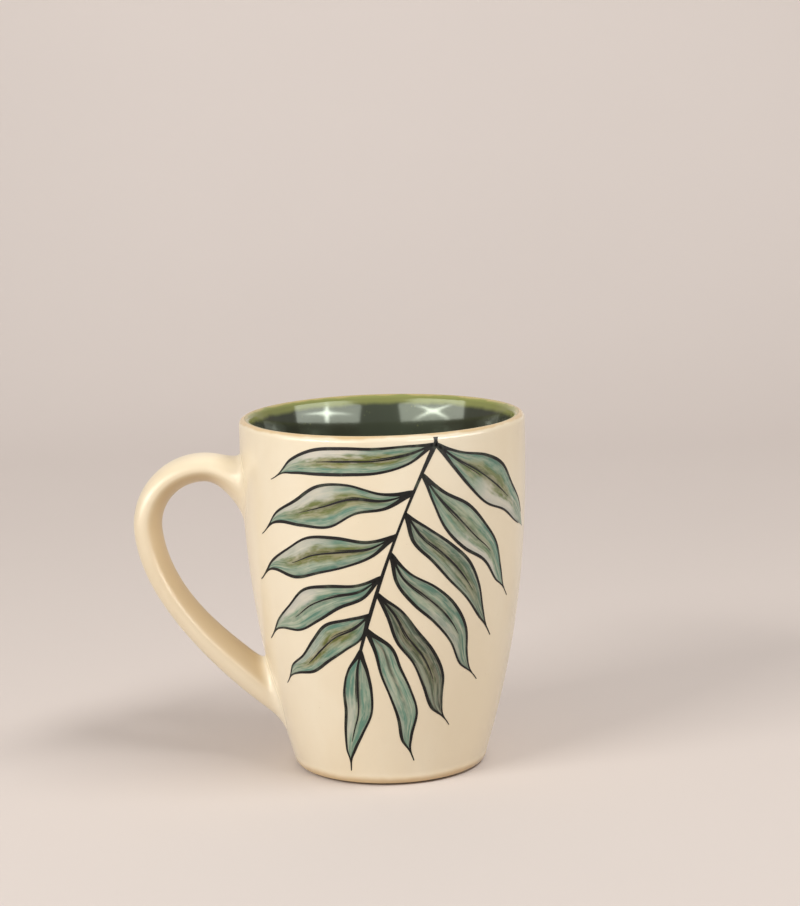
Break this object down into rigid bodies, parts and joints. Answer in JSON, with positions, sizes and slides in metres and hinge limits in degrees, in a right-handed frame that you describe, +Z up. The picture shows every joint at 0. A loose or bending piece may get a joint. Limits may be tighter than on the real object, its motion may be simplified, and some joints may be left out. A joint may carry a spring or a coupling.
{
  "type": "stoneware mug",
  "caption": "Hand-painted stoneware drinking mug with a tapered cup, a foot ring, a dark glazed inside and a luted ear-shaped strap handle.",
  "frame": {"origin": "middle of the bounding box's underside, on the plane the foot ring stands on", "axes": "+Z up the cup's axis, -X towards the handle, +X along the longest extent away from the handle, +Y across the handle"},
  "size_m": [0.1164, 0.0842, 0.105],
  "materials": {
    "bare_stoneware": "matte",
    "handle_clay": "matte",
    "slip": "matte",
    "cream_glaze": "gloss",
    "handle_cream_glaze": "gloss",
    "green_liner_glaze": "gloss",
    "underside_cream_glaze": "gloss"
  },
  "bodies": {
    "root": {"cup_body": "bare_stoneware", "handle": "handle_clay", "upper_slip_joint": "slip", "lower_slip_joint": "slip", "outer_glaze": "cream_glaze", "handle_glaze": "handle_cream_glaze", "liner_glaze": "green_liner_glaze", "underside_glaze": "underside_cream_glaze"}
  },
  "joints": []
}
